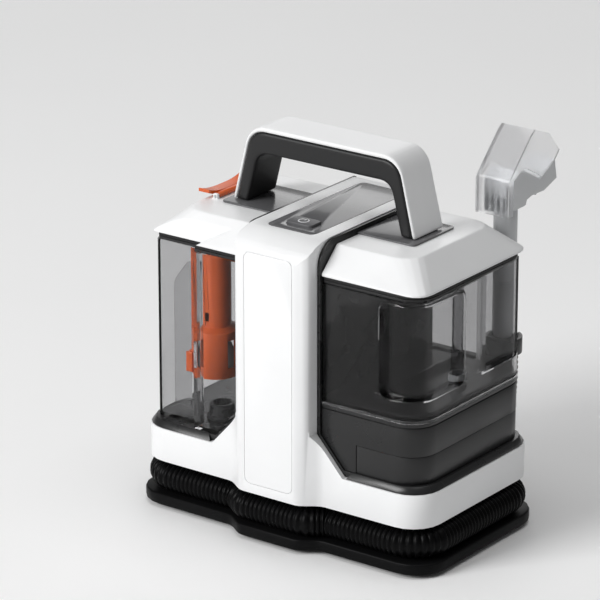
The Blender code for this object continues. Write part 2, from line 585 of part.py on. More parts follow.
def make_recovery_tank():
    tank = recovery_form("recovery_tank", TRAY_Z + GAP, TANK_TOP, 0.0, CLEAR)
    inside = recovery_form("recovery_inside", TRAY_Z + GAP + WALL, TANK_TOP + 10, WALL)
    cut(inside, ramp_cut("recovery_ramp_inside", -1, 4.9 + 3.6))
    cut(tank, ramp_cut("recovery_ramp", -1, 4.9), inside)
    cut(tank, cylinder("air_hole_tank", (-TANK_IN, 10, 215), 11, 12, "X"))
    recovery_form("recovery_lid", TANK_TOP + GAP, TANK_TOP + 3.0, 1.2, BLACK)
    rim = recovery_form("recovery_seal", TANK_TOP + 3.3, CAP_Z0 - 0.4, 1.2, RUBBER)
    cut(rim, recovery_form("recovery_seal_core", TANK_TOP - 5, CAP_Z0 + 5, 5.0))
    x, y = -100.0, -45.0
    stack = turned("recovery_stack", [(12.2, 244.6), (14.2, 244.6), (14.2, 166), (21.0, 163), (21.0, 120),
                                      (15.5, 120), (15.5, 122), (18.8, 122), (18.8, 161), (12.2, 164), (12.2, 244.6)],
                   (x, y, 0), ORANGE, 28)
    for index, turn in enumerate((81, 171, 261, 351)):
        angle = math.radians(turn)
        window = box(f"cage_window_{index}", (-4.5, -4, -13), (4.5, 4, 13), origin=(0, 0, 0))
        window.location = Vector((x + 20 * math.sin(angle), y - 20 * math.cos(angle), 142)) * MM
        window.rotation_euler = (0, 0, angle)
        cut(stack, window)
    cut(stack, box("stack_slot", (x - 3, y - 30, 172), (x + 3, y - 5, 180)))
    floater = turned("float_ball", [(0, 30), (9, 28.6), (14, 24), (17.5, 15), (17.5, 5), (15, 1), (12, 0), (0, 0)],
                     (x, y, 124), LIGHT_GREY, 24)
    floater.data.name = "float_ball"
    inlet = turned("suction_inlet", [(0, 14), (10.5, 14), (11.5, 13), (11.5, 4), (13.5, 3), (13.5, 0), (0, 0)],
                   (-88, -52, TRAY_Z + GAP + WALL + 0.3), BLACK, 24)
    cut(inlet, cylinder("inlet_bore", (-88, -52, 98), 8.5, 24, sides=20))


# ---- Wand, trigger, nozzle, and the holster that the wand drops into ----

def make_wand():
    x, y = WAND
    wand = turned("wand", [(0, WAND_Z1), (WAND_R, WAND_Z1), (WAND_R, 209.6), (10.0, 209.2), (10.0, 208.2),
                           (WAND_R, 207.8), (WAND_R, 160), (9.2, WAND_Z0), (7.4, WAND_Z0), (7.4, 262), (0, 262)],
                  (x, y, 0), LIGHT_GREY, 24)
    cut(wand, box("trigger_pocket", (x - 3.9, y + 4.6, 158.5), (x + 3.9, y + 16, 197)))
    cut(wand, cylinder("pin_hole_wand", (x, y + 7.0, 192), 1.4, 30, "X", sides=12))
    pivot = (y + 7.0, 192.0)
    lever = [(y + 5.2, 189), (y + 5.2, 195), (y + 10.6, 195), (y + 11.2, 188), (y + 14.3, 170),
             (y + 15.6, 164.5), (y + 14.6, 160), (y + 12.0, 159.4), (y + 9.8, 170), (y + 8.2, 184)]
    trigger = prism("trigger", lever, x - 3.5, x + 3.5, "X", ORANGE, origin=pivot)
    cut(trigger, cylinder("pin_hole_trigger", (x, pivot[0], pivot[1]), 1.4, 30, "X", sides=12))
    cylinder("trigger_pin", (x, pivot[0], pivot[1]), 1.1, 13, "X", STEEL, sides=12)

    body = [(y - 13, 276.3), (y + 10.5, 276.3), (y + 12, 281), (y + 21, 283), (y + 40, 282.5), (y + 60.3, 289),
            (y + 56, 310), (y + 49, 306.5), (y + 31.3, 296.3), (y + 8, 309.5), (y - 1, 311.3), (y - 13, 304.5)]
    grown = prism("nozzle_body", body, x - 15, x + 15, "X", LIGHT_GREY, bevel=1.5, bevel_steps=1)
    cut(grown, prism("suction_throat", [(y - 30, 282), (y - 4, 282), (y - 4, 300), (y - 30, 300)], x - 9, x + 9, "X"))
    cut(grown, cylinder("throat_bore", (x, y, 280), 6.6, 30, sides=20))
    hood = [(y - 22, 274), (y - 22, 305.5), (y - 19, 309.5), (y + 12, 341), (y + 18, 345), (y + 40, 336.5),
            (y + 58.5, 316.5), (y + 51, 309), (y + 31, 298.8), (y + 8, 311.8), (y - 1, 313.6), (y - 14.7, 306.3),
            (y - 14.7, 274)]
    hollow = [(y - 19.8, 264), (y - 19.8, 304.6), (y - 17.2, 308), (y + 13.5, 339), (y + 17.5, 341.8),
              (y + 30, 354), (y + 72, 321), (y + 56, 300), (y + 26, 280), (y - 9, 290), (y - 9, 264)]
    cover = prism("nozzle_hood", hood, x - 17.5, x + 17.5, "X", CLEAR)
    cut(cover, prism("hood_hollow", hollow, x - 15.3, x + 15.3, "X"))
    tip = turned("spray_tip", [(0, 0), (3.4, 0), (3.4, -5), (1.6, -8), (0, -8)], (x, y + 46, 282.8), BLACK, 16)
    tip.data.name = "spray_tip"


def make_holster():
    x, y = WAND
    frame = [(x + 15.5, 45), (x + 21.5, 45), (x + 21.5, 157), (x - 14, 157), (x - 14, 137), (x + 10, 137),
             (x + 15.5, 128)]
    back = BAND_Y + GAP
    holster = prism("wand_holster", frame, back, back + 2.6, "Y", BLACK)
    ring = cylinder("holster_ring", (x, y, 148), 17.0, 15, sides=32)
    cut(ring, box("holster_mouth", (x - 6.5, y + 4, 130), (x + 6.5, y + 30, 170)))
    join(holster, ring)
    cut(holster, cylinder("holster_bore", (x, y, 148), 13.8, 40, sides=32))


# ---- Drive inside the column: vacuum motor and fan, pump, board, ducts ----

def make_drive():
    x, y = 0.0, 34.0
    box("motor_deck", (-36.8, -24, 66.0), (36.8, 82, 70.0), BLACK)
    deck = bpy.data.objects["motor_deck"]
    cut(deck, cylinder("deck_inlet", (x, y, 68), 12, 20))
    fan = turned("fan_housing", [(15, 112), (34, 112), (34, 70.4), (13, 70.4), (13, 73), (31.5, 73),
                                 (31.5, 109.5), (15, 109.5), (15, 112)], (x, y, 0), BLACK, 28)
    cut(fan, box("fan_outlet", (x - 8, y + 20, 80), (x + 8, y + 60, 100)))
    turned("motor_housing", [(0, 196), (22, 196), (33, 188), (33, 112.4), (30, 112.4), (30, 186), (21, 193),
                             (0, 193)], (x, y, 0), STEEL, 28)
    turned("motor_rotor", [(0, 184), (4, 184), (4, 178), (24, 176), (24, 128), (4, 126), (4, 104),
                           (8, 103), (26, 98), (28, 96), (28, 84), (8, 80), (0, 80)], (x, y, 0), STEEL, 28)
    box("circuit_board", (-30, -80, 258.5), (30, -24, 260.1), BOARD)
    box("power_switch", (-6, -55.5, 260.4), (6, -43.5, 272.4), BLACK)
    pump = box("pump_body", (20, -32, PLATE_T + GAP), (72, 4, 36), BLACK, corners=all_corners(5.0))
    cut(pump, cylinder("pump_bore", (46, -14, 30), 12.4, 24))
    rotor = turned("pump_rotor", [(0, 34), (11.6, 34), (11.6, 19), (0, 19)], (46, -14, 0), STEEL, 16)
    cut(rotor, box("rotor_vane_a", (32, -15.2, 26), (60, -12.8, 40)))
    tube("solution_tube", [(36.9, 0, 121), (32, 0, 120.4), (28.8, 0, 117), (27.6, 0, 110), (27.2, -6, 90),
                           (26.8, -26, 74), (26.8, -31, 66), (26.8, -31, 56), (27.6, -26.5, 49), (28.7, -22.8, 44),
                           (29, -22, 40), (29, -22, 36.6)], 3.0, CLEAR)
    tube("air_duct", [(-36.6, 10, 215), (-32, 8.5, 214.6), (-28, 5, 212.8), (-25.2, -1, 209), (-23.8, -8, 203),
                      (-22.4, -16, 194), (-21.6, -23, 180), (-21.2, -27.5, 160), (-21, -30, 138),
                      (-21, -33, 116), (-20.6, -36, 96), (-19.6, -37, 80), (-17.8, -36, 68), (-15, -31.5, 58),
                      (-11, -21, 53.2), (-7, -6, 52), (-3.5, 10, 52.2), (-1.2, 22, 54), (-0.2, 29.5, 58),
                      (0, 33.4, 64), (0, 34, 70)], 8.5, BLACK, 3)


# ---- Hose: port in the rear groove, cuffs, and the hose round the base and up to the wand ----

def hose_route():
    """Out of the port, round the right end, front and left end in the groove, then up to the wand."""
    gx, gy = PLATE_X - GROOVE_INSET, PLATE_Y - GROOVE_INSET
    r = HOSE_CORNER
    route = [(113.3, gy)]
    route += arc((gx - r, gy - r), r, 90, 0, 5)[1:]
    route += [(gx, 24), (gx, -12)]
    route += arc((gx - r, -gy + r), r, 0, -90, 5)
    for x in (98, 74, 58, 49, 40, 31, 16, 0, -16, -31, -40, -49, -58, -74, -98):
        route.append((x, -gy - bulge_depth(x)))
    route += arc((-gx + r, -gy + r), r, 270, 180, 5)
    route += [(-gx, -12), (-gx, 24)]
    route += arc((-gx + r, gy - r), r, 180, 90, 5)
    route += [(-92, gy), (-62, gy), (-34, gy + 1.0), (-10, gy + 4.5), (12, gy + 11.5), (34, gy + 20.0)]
    flat = [(x, y, HOSE_Z) for x, y in route]
    wx, wy = WAND
    rise = [(54, wy - 0.8, HOSE_Z + 3.0), (72, wy, HOSE_Z + 10.5), (87, wy, HOSE_Z + 23), (98, wy, HOSE_Z + 42),
            (105, wy, HOSE_Z + 66), (wx, wy, HOSE_Z + 92), (wx, wy, 140.2)]
    return smooth(flat + rise, 78)


def smooth(points, count):
    """Evenly spaced points on the Catmull-Rom curve through the given ones."""
    knots = [Vector(point) for point in points]
    knots = [2 * knots[0] - knots[1]] + knots + [2 * knots[-1] - knots[-2]]
    fine = []
    for a, b, c, d in zip(knots, knots[1:], knots[2:], knots[3:]):
        for step in range(12):
            t = step / 12
            fine.append(0.5 * (2 * b + (c - a) * t + (2 * a - 5 * b + 4 * c - d) * t * t
                               + (3 * b - a - 3 * c + d) * t ** 3))
    fine.append(knots[-2])
    travelled = [0.0]
    for before, after in zip(fine, fine[1:]):
        travelled.append(travelled[-1] + (after - before).length)
    chosen, index = [], 0
    for step in range(count):
        target = travelled[-1] * step / (count - 1)
        while index < len(fine) - 2 and travelled[index + 1] < target:
            index += 1
        run = travelled[index + 1] - travelled[index]
        chosen.append(fine[index].lerp(fine[index + 1], (target - travelled[index]) / run))
    return [tuple(point) for point in chosen]


def make_hose(core_y):
    gy = PLATE_Y - GROOVE_INSET
    port = cylinder("hose_port", (83, gy, HOSE_Z), 12.0, 26, "X", BLACK, sides=24)
    join(port, box("port_block", (70.5, core_y + GAP, HOSE_Z - 11), (91, gy + 2, HOSE_Z + 11)))
    cut(port, cylinder("port_bore", (90, gy, HOSE_Z), 8.5, 24, "X", sides=20))
    cuff = turned("hose_cuff_port", [(0, 8), (13.2, 8), (14.0, 7), (14.0, -7), (13.0, -7.8), (0, -7.8)],
                  (104.2, gy, HOSE_Z), RUBBER, 24, "X")
    cut(cuff, cylinder("cuff_bore_port", (100, gy, HOSE_Z), 8.5, 20, "X", sides=20))
    x, y = WAND
    cuff = turned("hose_cuff_wand", [(0, 155.7), (12.4, 155.7), (13.2, 154), (13.4, 142), (12.6, 140.5),
                                     (0, 140.5)], (x, y, 0), RUBBER, 24)
    cut(cuff, cylinder("cuff_bore_wand", (x, y, 152), 7.4, 20, sides=20))
    tube("suction_hose", hose_route(), HOSE_R, RUBBER)


core_edge = make_base()
make_body()
make_liner(-1, "left")
make_liner(1, "right")
make_caps()
make_handle()
make_latch()
make_clean_tank()
make_recovery_tank()
make_wand()
make_holster()
make_drive()
make_hose(core_edge)
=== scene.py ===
"""Portable carpet cleaner: finishes, the ribbed hose and the small modelled details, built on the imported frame."""
import math

import bpy
from mathutils import Matrix, Vector


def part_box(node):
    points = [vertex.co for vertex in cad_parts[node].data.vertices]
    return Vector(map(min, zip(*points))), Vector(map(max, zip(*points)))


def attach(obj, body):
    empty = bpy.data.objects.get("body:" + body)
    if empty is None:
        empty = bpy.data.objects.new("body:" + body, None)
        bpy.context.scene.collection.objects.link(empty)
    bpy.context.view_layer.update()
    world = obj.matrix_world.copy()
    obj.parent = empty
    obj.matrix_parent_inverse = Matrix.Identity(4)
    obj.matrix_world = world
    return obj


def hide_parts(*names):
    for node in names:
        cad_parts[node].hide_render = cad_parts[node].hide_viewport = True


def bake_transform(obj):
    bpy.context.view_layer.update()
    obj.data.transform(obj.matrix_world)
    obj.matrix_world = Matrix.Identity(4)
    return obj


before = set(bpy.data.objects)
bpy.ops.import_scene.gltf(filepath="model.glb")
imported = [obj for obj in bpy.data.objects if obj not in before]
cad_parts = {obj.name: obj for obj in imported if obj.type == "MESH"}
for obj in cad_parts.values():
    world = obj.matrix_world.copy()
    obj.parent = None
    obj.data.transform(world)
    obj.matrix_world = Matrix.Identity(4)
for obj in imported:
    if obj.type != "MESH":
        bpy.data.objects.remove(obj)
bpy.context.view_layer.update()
scene = bpy.context.scene
bpy.ops.object.select_all(action="DESELECT")


# ---- Studio: camera, lights, floor ----
# A long lens looks from the front right, slightly above the machine.
# Large soft boxes light a pale sweep of paper; nothing here is part of the machine.
plate_low, plate_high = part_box("base_plate")
PLATE_HALF_DEPTH = 92.0


def spot(x, y, z):
    """A place in metres from millimetres: z = 0 is the base plate's underside, and its rear edge is at y = 92."""
    return Vector((x / 1000, plate_high.y + (y - PLATE_HALF_DEPTH) / 1000, plate_low.z + z / 1000))


AZIMUTH, ELEVATION, DISTANCE = math.radians(36.28), math.radians(19.92), 3.5217
aim = spot(-40.38, 0.0, 187.39)
toward = Vector((-math.sin(AZIMUTH) * math.cos(ELEVATION), math.cos(AZIMUTH) * math.cos(ELEVATION),
                 -math.sin(ELEVATION)))
bpy.ops.object.camera_add(location=aim - toward * DISTANCE, rotation=(math.pi / 2 - ELEVATION, 0, AZIMUTH))
camera = bpy.context.object
camera.name = "studio_camera"
camera.data.lens = 238.4
camera.data.sensor_width = 36.0
camera.data.clip_end = 50.0
scene.camera = camera


def soft_box(name, place, size, power):
    """A square area lamp that faces the machine."""
    bpy.ops.object.light_add(type="AREA", location=place)
    lamp = bpy.context.object
    lamp.name = name
    lamp.data.size = size
    lamp.data.energy = power
    lamp.rotation_euler = (Vector((0, 0, 0.15)) - Vector(place)).to_track_quat("-Z", "Y").to_euler()


soft_box("key_soft_box", (-1.9, -4.4, 2.6), 2.4, 218)
soft_box("top_soft_box", (0.3, 0.0, 4.4), 3.8, 76)
soft_box("back_soft_box", (-2.4, 3.6, 1.8), 2.6, 24)

world = bpy.data.worlds.new("studio_air")
world.use_nodes = True
air = world.node_tree
air.nodes["Background"].inputs["Color"].default_value = (1.0, 1.0, 1.0, 1.0)
air.nodes["Background"].inputs["Strength"].default_value = 0.16
backdrop = air.nodes.new("ShaderNodeBackground")
backdrop.inputs["Strength"].default_value = 1.0
seen = air.nodes.new("ShaderNodeLightPath")
either = air.nodes.new("ShaderNodeMixShader")
air.links.new(seen.outputs["Is Camera Ray"], either.inputs[0])
air.links.new(air.nodes["Background"].outputs["Background"], either.inputs[1])
air.links.new(backdrop.outputs["Background"], either.inputs[2])
air.links.new(either.outputs["Shader"], air.nodes["World Output"].inputs["Surface"])
scene.world = world
scene.view_settings.view_transform = "Standard"

bpy.ops.mesh.primitive_plane_add(size=14, location=(0, 0, -0.0004))
floor = bpy.context.object
floor.name = "paper_floor"
paper = bpy.data.materials.new("pale_paper")
paper.use_nodes = True
grain = paper.node_tree.nodes.new("ShaderNodeTexNoise")
grain.inputs["Scale"].default_value = 40.0
tone = paper.node_tree.nodes.new("ShaderNodeValToRGB")
tone.color_ramp.elements[0].color = (0.95, 0.95, 0.95, 1.0)
tone.color_ramp.elements[1].color = (0.98, 0.98, 0.98, 1.0)
paper.node_tree.links.new(grain.outputs["Fac"], tone.inputs["Fac"])
paper.node_tree.links.new(tone.outputs["Color"], paper.node_tree.nodes["Principled BSDF"].inputs["Base Color"])
paper.node_tree.nodes["Principled BSDF"].inputs["Roughness"].default_value = 0.9
floor.data.materials.append(paper)


# ---- Suction hose ----
# A blow-moulded corrugated hose of black plastic. It leaves the rear port, lies once round the base in its groove
# and rises behind the machine into the wand's cuff.
def moulded(name, colour, roughness, grain=0.05, grain_size=0.4, mottle=0.06, metallic=0.0, coat=0.0, spread=0.05,
             shine=0.5):
    """A moulded plastic or metal: a slightly uneven colour, a fine eroded texture and patchy gloss."""
    made = bpy.data.materials.new(name)
    made.use_nodes = True
    tree = made.node_tree
    shader = tree.nodes["Principled BSDF"]
    place = tree.nodes.new("ShaderNodeTexCoord")
    cloud = tree.nodes.new("ShaderNodeTexNoise")
    cloud.inputs["Scale"].default_value = 26.0
    cloud.inputs["Detail"].default_value = 4.0
    tree.links.new(place.outputs["Object"], cloud.inputs["Vector"])
    shade = tree.nodes.new("ShaderNodeValToRGB")
    shade.color_ramp.elements[0].position = 0.3
    shade.color_ramp.elements[1].position = 0.7
    shade.color_ramp.elements[0].color = (*[value * (1 - mottle) for value in colour], 1.0)
    shade.color_ramp.elements[1].color = (*[min(1.0, value * (1 + mottle)) for value in colour], 1.0)
    tree.links.new(cloud.outputs["Fac"], shade.inputs["Fac"])
    tree.links.new(shade.outputs["Color"], shader.inputs["Base Color"])
    patch = tree.nodes.new("ShaderNodeMapRange")
    patch.inputs["From Min"].default_value = 0.3
    patch.inputs["From Max"].default_value = 0.7
    patch.inputs["To Min"].default_value = max(0.02, roughness - spread)
    patch.inputs["To Max"].default_value = roughness + spread
    tree.links.new(cloud.outputs["Fac"], patch.inputs["Value"])
    tree.links.new(patch.outputs["Result"], shader.inputs["Roughness"])
    pits = tree.nodes.new("ShaderNodeTexNoise")
    pits.inputs["Scale"].default_value = 1000.0 / grain_size
    pits.inputs["Detail"].default_value = 2.0
    tree.links.new(place.outputs["Object"], pits.inputs["Vector"])
    relief = tree.nodes.new("ShaderNodeBump")
    relief.inputs["Strength"].default_value = grain
    relief.inputs["Distance"].default_value = grain_size / 4000.0
    tree.links.new(pits.outputs["Fac"], relief.inputs["Height"])
    tree.links.new(relief.outputs["Normal"], shader.inputs["Normal"])
    shader.inputs["Metallic"].default_value = metallic
    shader.inputs["Specular IOR Level"].default_value = shine
    shader.inputs["Coat Weight"].default_value = coat
    shader.inputs["Coat Roughness"].default_value = 0.06
    return made


WAND_X, WAND_Y = 107.1, 104.4


def hose_line():
    """The hose's centreline through the groove, evenly spaced, in metres."""
    edge_x, edge_y, corner, height = 146.5, 78.5, 26.0, 24.5
    turns = {"right_rear": (edge_x - corner, edge_y - corner, 90),
             "right_front": (edge_x - corner, corner - edge_y, 0),
             "left_front": (corner - edge_x, corner - edge_y, 270),
             "left_rear": (corner - edge_x, edge_y - corner, 180)}

    def quarter(name, first=0):
        x, y, start = turns[name]
        angles = [math.radians(start - 18 * step) for step in range(first, 6)]
        return [(x + corner * math.cos(a), y + corner * math.sin(a)) for a in angles]

    def front(x):
        run = min(1.0, max(0.0, (52 - abs(x)) / 24))
        return -edge_y - 0.5 * (1 - (x / 118) ** 2) - 11.8 * run * run * (3 - 2 * run)

    flat = [(113.3, edge_y)] + quarter("right_rear", 1) + [(edge_x, 24), (edge_x, -12)] + quarter("right_front")
    flat += [(x, front(x)) for x in (98, 74, 58, 49, 40, 31, 16, 0, -16, -31, -40, -49, -58, -74, -98)]
    flat += quarter("left_front") + [(-edge_x, -12), (-edge_x, 24)] + quarter("left_rear")
    flat += [(-92, edge_y), (-62, edge_y), (-34, 79.5), (-10, 83), (12, 90), (34, 98.5)]
    rise = [(54, 103.6, 27.5), (72, WAND_Y, 35), (87, WAND_Y, 47.5), (98, WAND_Y, 66.5), (105, WAND_Y, 90.5),
            (WAND_X, WAND_Y, 116.5), (WAND_X, WAND_Y, 140.2)]
    knots = [Vector((x, y, height)) for x, y in flat] + [Vector(point) for point in rise]
    knots = [2 * knots[0] - knots[1]] + knots + [2 * knots[-1] - knots[-2]]
    line = []
    for a, b, c, d in zip(knots, knots[1:], knots[2:], knots[3:]):
        for step in range(24):
            t = step / 24
            line.append(0.5 * (2 * b + (c - a) * t + (2 * a - 5 * b + 4 * c - d) * t * t
                               + (3 * b - a - 3 * c + d) * t ** 3))
    line.append(knots[-2])
    return [spot(*point) for point in line]


def even_points(line, gap):
    """Points at equal steps along a line, and the step that divides it evenly."""
    travelled = [0.0]
    for before, after in zip(line, line[1:]):
        travelled.append(travelled[-1] + (after - before).length)
    count = round(travelled[-1] / gap)
    found, index = [], 0
    for number in range(count + 1):
        target = travelled[-1] * number / count
        while index < len(line) - 2 and travelled[index + 1] < target:
            index += 1
        run = travelled[index + 1] - travelled[index]
        found.append(line[index].lerp(line[index + 1], (target - travelled[index]) / run))
    return found, travelled[-1]


def swept(name, line, radii, sides, material):
    """A closed round tube along the line whose radius changes from ring to ring."""
    corners, faces = [], []
    side = Vector((0, 0, 1))
    for index, (centre, radius) in enumerate(zip(line, radii)):
        ahead = line[min(index + 1, len(line) - 1)] - line[max(index - 1, 0)]
        ahead.normalize()
        side = (side - ahead * side.dot(ahead)).normalized()
        other = ahead.cross(side)
        for step in range(sides):
            angle = 2 * math.pi * step / sides
            corners.append(centre + (side * math.cos(angle) + other * math.sin(angle)) * radius)
    for ring in range(len(line) - 1):
        for step in range(sides):
            a, b = ring * sides + step, ring * sides + (step + 1) % sides
            faces.append((a, b, b + sides, a + sides))
    faces.append(tuple(reversed(range(sides))))
    faces.append(tuple(range((len(line) - 1) * sides, len(line) * sides)))
    mesh = bpy.data.meshes.new(name)
    mesh.from_pydata(corners, [], faces)
    mesh.materials.append(material)
    mesh.shade_smooth()
    tube = bpy.data.objects.new(name, mesh)
    scene.collection.objects.link(tube)
    return tube


hose_black = moulded("hose_black_plastic", (0.0028, 0.0028, 0.003), 0.34, grain=0.12, grain_size=0.7, spread=0.08,
                     shine=0.07)
RIB_STEPS = 6
RIB_WAVE = (11.5, 12.7, 13.4, 13.6, 13.4, 12.7)
RIB_PITCH = 0.0047
rings, hose_length = even_points(hose_line(), RIB_PITCH / RIB_STEPS)
radii = [RIB_WAVE[index % RIB_STEPS] / 1000 for index in range(len(rings))]
hose = swept("ribbed_hose", rings, radii, 24, hose_black)
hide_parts("suction_hose")
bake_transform(hose)


# ---- Hose port and cuffs ----
# Soft overmoulded cuffs grip the hose at both ends. The rear one screws onto a hard plastic port that comes out of
# the core under the body, and the upper one turns on the wand's tail.
def softened(node, material, width=0.5, segments=2, limit=38):
    """A CAD piece that stays: its triangles are welded, its edges get a small mould radius, and it takes a finish."""
    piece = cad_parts[node]
    weld = piece.modifiers.new("weld", "WELD")
    weld.merge_threshold = 0.00001
    if width:
        flat = piece.modifiers.new("flat_faces", "DECIMATE")
        flat.decimate_type = "DISSOLVE"
        flat.angle_limit = math.radians(0.4)
        edge = piece.modifiers.new("mould_radius", "BEVEL")
        edge.width = width / 1000
        edge.segments = segments
        edge.limit_method = "ANGLE"
        edge.angle_limit = math.radians(limit)
        edge.harden_normals = True
    crisp = piece.modifiers.new("crisp_edges", "EDGE_SPLIT")
    crisp.split_angle = math.radians(44)
    for polygon in piece.data.polygons:
        polygon.use_smooth = True
    piece.data.materials.clear()
    piece.data.materials.append(material)
    return piece


cuff_rubber = moulded("cuff_rubber", (0.012, 0.012, 0.0125), 0.6, grain=0.25, grain_size=0.5, shine=0.3)
satin_black = moulded("satin_black_plastic", (0.012, 0.012, 0.0125), 0.3, grain=0.05, grain_size=0.35, shine=0.4)
softened("hose_cuff_port", cuff_rubber, 0.6)
softened("hose_cuff_wand", cuff_rubber, 0.6)
softened("hose_port", satin_black, 0.5)


# ---- Base plate, feet and screws ----
# A flat black moulding with a rolled rim that carries the hose, on four rubber feet. Four screws hold it to the core.
# The core is the wall that the hose lies against.
steel = moulded("zinc_plated_steel", (0.55, 0.56, 0.57), 0.3, grain=0.05, metallic=1.0)
plate_black = moulded("plate_black_plastic", (0.005, 0.005, 0.0053), 0.4, grain=0.06, grain_size=0.4, shine=0.07)
softened("base_plate", plate_black, 0.7)
softened("chassis_core", satin_black, 0.8)
for number in range(1, 5):
    softened(f"foot_{number}", cuff_rubber, 0.4)
    softened(f"base_screw_{number}", steel, 0.2)


# ---- Body shell and front panel ----
# One white moulding makes the band round the base, the cheeks and the hollow column. Its skin is a fine satin.
# The front panel is a polished insert with a hairline gap all round.
white_satin = moulded("satin_white_plastic", (0.83, 0.835, 0.84), 0.36, grain=0.035, grain_size=0.3, mottle=0.012)
white_gloss = moulded("polished_white_plastic", (0.88, 0.885, 0.89), 0.12, grain=0.008, mottle=0.01, coat=0.4,
                      spread=0.02)
softened("body_shell", white_satin, 1.1, 3)
softened("front_panel", white_gloss, 0.35)


# ---- Trays ----
# Black liners line both bays: a tray that each tank stands in, and the wall beside the column.
# The tray's chamfered rim catches the light.
tray_black = moulded("tray_black_plastic", (0.018, 0.018, 0.0185), 0.28, grain=0.03, grain_size=0.35, shine=0.4)
softened("bay_liner_left", tray_black, 0.8)
softened("bay_liner_right", tray_black, 0.8)


# ---- Tank caps and inlays ----
# White satin covers over both bays, hollow below. Gloss dark plates are let into their tops under the handle's feet.
def rounded_copy(name, node, voxel, passes, material):
    """A merged copy of a CAD piece, meshed evenly and smoothed until its edges are as round as a moulding's."""
    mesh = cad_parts[node].data.copy()
    mesh.materials.clear()
    mesh.materials.append(material)
    piece = bpy.data.objects.new(name, mesh)
    scene.collection.objects.link(piece)
    bpy.ops.object.select_all(action="DESELECT")
    piece.select_set(True)
    bpy.context.view_layer.objects.active = piece
    bpy.ops.object.mode_set(mode="EDIT")
    bpy.ops.mesh.select_all(action="SELECT")
    bpy.ops.mesh.remove_doubles(threshold=0.00001)
    bpy.ops.object.mode_set(mode="OBJECT")
    even = piece.modifiers.new("even_mesh", "REMESH")
    even.mode = "VOXEL"
    even.voxel_size = voxel / 1000
    even.use_smooth_shade = True
    rounding = piece.modifiers.new("rounding", "SMOOTH")
    rounding.factor = 0.5
    rounding.iterations = passes
    bpy.ops.object.modifier_apply(modifier="even_mesh")
    bpy.ops.object.modifier_apply(modifier="rounding")
    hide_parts(node)
    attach(piece, "chassis")
    return piece


dark_gloss = moulded("dark_gloss_plastic", (0.125, 0.125, 0.13), 0.2, grain=0.006, coat=0.3, spread=0.03)
for side in ("left", "right"):
    rounded_copy(f"cap_skin_{side}", f"tank_cap_{side}", 0.8, 12, white_satin)
    softened(f"cap_inlay_{side}", dark_gloss, 0.4)


# ---- Top panel and power button ----
# The same gloss plate runs along the top of the column, with a rocker near the front.
# The usual power sign, a ring with a bar through its gap, stands slightly proud of the rocker in pale grey.
softened("top_panel", dark_gloss, 0.3)
softened("power_button", moulded("button_grey", (0.10, 0.10, 0.105), 0.42, grain=0.03), 0.8, 3)
sign_grey = moulded("sign_pale_grey", (0.72, 0.72, 0.73), 0.5, mottle=0.02)
button_low, button_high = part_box("power_button")
SIGN_RADIUS, SIGN_STROKE = 0.0046, 0.0007
SIGN_GAP_HALF_WIDTH, SIGN_GAP_FROM = 0.0018, 0.0020
BAR_AHEAD, BAR_SIZE = 0.0036, (0.0012, 0.0042, 0.00066)
sign_spot = Vector((0, (button_low.y + button_high.y) / 2, button_high.z - 0.00008))
bpy.ops.object.select_all(action="DESELECT")
bpy.ops.mesh.primitive_torus_add(location=sign_spot, major_radius=SIGN_RADIUS, minor_radius=SIGN_STROKE,
                                 major_segments=40, minor_segments=8)
power_sign = bpy.context.object
power_sign.name = "power_sign"
bpy.ops.object.mode_set(mode="EDIT")
bpy.ops.mesh.select_all(action="SELECT")
bpy.ops.transform.resize(value=(1, 1, 0.5), orient_type="GLOBAL")
bpy.ops.mesh.select_mode(type="FACE")
bpy.ops.mesh.select_all(action="DESELECT")
bpy.ops.object.mode_set(mode="OBJECT")
for face in power_sign.data.polygons:
    face.select = face.center.y > SIGN_GAP_FROM and abs(face.center.x) < SIGN_GAP_HALF_WIDTH
bpy.ops.object.mode_set(mode="EDIT")
bpy.ops.mesh.delete(type="FACE")
bpy.ops.mesh.select_all(action="SELECT")
bpy.ops.mesh.fill_holes(sides=12)
bpy.ops.mesh.select_all(action="DESELECT")
bpy.ops.mesh.primitive_cube_add(size=1, location=sign_spot + Vector((0, BAR_AHEAD, 0)), scale=BAR_SIZE)
bpy.ops.mesh.bevel(offset=0.0001, segments=2, affect="EDGES")
bpy.ops.object.mode_set(mode="OBJECT")
power_sign.data.transform(Matrix.Translation(power_sign.location))
power_sign.location = (0, 0, 0)
power_sign.data.materials.append(sign_grey)
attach(power_sign, "power_button")


# ---- Carry handle ----
# A white outer skin over a soft black grip, screwed down through both tank caps.
# Both are rounded copies, since a hand goes round every edge of them.
grip_black = moulded("soft_grip_black", (0.014, 0.014, 0.0145), 0.38, grain=0.12, grain_size=0.5, shine=0.3)
rounded_copy("handle_skin", "handle_shell", 0.9, 14, white_satin)
rounded_copy("handle_inner_grip", "handle_grip", 1.0, 10, grip_black)


# ---- Release latch ----
# A springy orange plastic lever across the left cap that frees the waste tank.
# It turns on a zinc-plated steel pin held in two lugs.
orange_plastic = moulded("orange_plastic", (0.62, 0.10, 0.014), 0.36, grain=0.04, mottle=0.04)
softened("release_latch", orange_plastic, 0.6)
softened("latch_pin", steel, 0.2)


